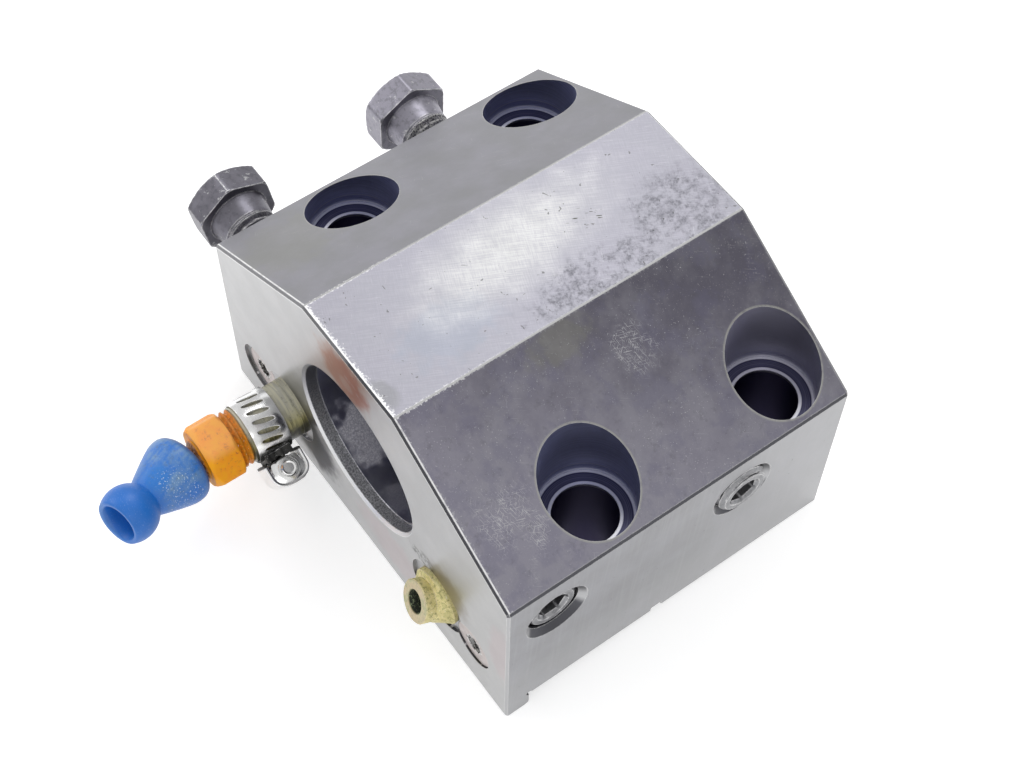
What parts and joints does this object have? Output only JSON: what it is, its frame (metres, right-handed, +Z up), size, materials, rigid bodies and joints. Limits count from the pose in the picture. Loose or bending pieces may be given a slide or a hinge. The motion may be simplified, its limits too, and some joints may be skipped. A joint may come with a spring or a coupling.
{
  "type": "boring bar holder block",
  "caption": "Steel turret block that clamps a boring bar in a round bore, with bolted base, clamping screws and coolant nozzles on its front face.",
  "frame": {"origin": "centre of the four mounting bolts, on the mounting face", "axes": "X across the block, +Y along the bar bore towards the rear, +Z up from the mounting face"},
  "size_m": [0.1239, 0.1305, 0.0701],
  "materials": {
    "block_steel": "darkened ground steel, rubbed bright on the top",
    "bolt_steel": "black oxide, worn",
    "screw_steel": "black oxide",
    "plug_metal": "dull, stained",
    "stub_brass": "tarnished brass",
    "hose_rubber": "yellowed, streaked",
    "clamp_steel": "bright stainless",
    "orange_plastic": "stained orange",
    "blue_plastic": "blue, slightly faded"
  },
  "bodies": {
    "block": {"holder_block": "block_steel", "port_plug_right": "plug_metal", "port_plug_left": "plug_metal", "coolant_stub_right": "stub_brass", "coolant_stub_left": "stub_brass", "hose_sleeve": "hose_rubber", "hose_clamp_band": "clamp_steel", "hose_clamp_housing": "clamp_steel", "hose_connector": "orange_plastic"},
    "clamp_bolt_front": {"clamp_bolt_front": "bolt_steel"},
    "clamp_bolt_rear": {"clamp_bolt_rear": "bolt_steel"},
    "set_screw_front": {"set_screw_front": "screw_steel"},
    "set_screw_rear": {"set_screw_rear": "screw_steel"},
    "hose_clamp_screw": {"hose_clamp_screw": "clamp_steel"},
    "ball_segment": {"ball_segment": "blue_plastic"}
  },
  "joints": [
    {"name": "clamp_bolt_front_travel", "type": "slide", "parent": "block", "child": "clamp_bolt_front", "axis": [1, 0, 0], "range_m": [-0.012, 0.008]},
    {"name": "clamp_bolt_rear_travel", "type": "slide", "parent": "block", "child": "clamp_bolt_rear", "axis": [1, 0, 0], "range_m": [-0.012, 0.008]},
    {"name": "set_screw_front_travel", "type": "slide", "parent": "block", "child": "set_screw_front", "axis": [-1, 0, 0], "range_m": [-0.01, 0.006]},
    {"name": "set_screw_rear_travel", "type": "slide", "parent": "block", "child": "set_screw_rear", "axis": [-1, 0, 0], "range_m": [-0.008, 0.008]},
    {"name": "hose_clamp_screw_turn", "type": "hinge", "parent": "block", "child": "hose_clamp_screw", "pos_m": [-0.01813, -0.05785, 0.00655], "axis": [0.4909, 0, 0.8712], "continuous": true},
    {"name": "ball_segment_swivel", "type": "hinge", "parent": "block", "child": "ball_segment", "pos_m": [-0.0278, -0.07885, 0.012], "axis": [0, 0, 1], "range_deg": [-36, 1]}
  ]
}
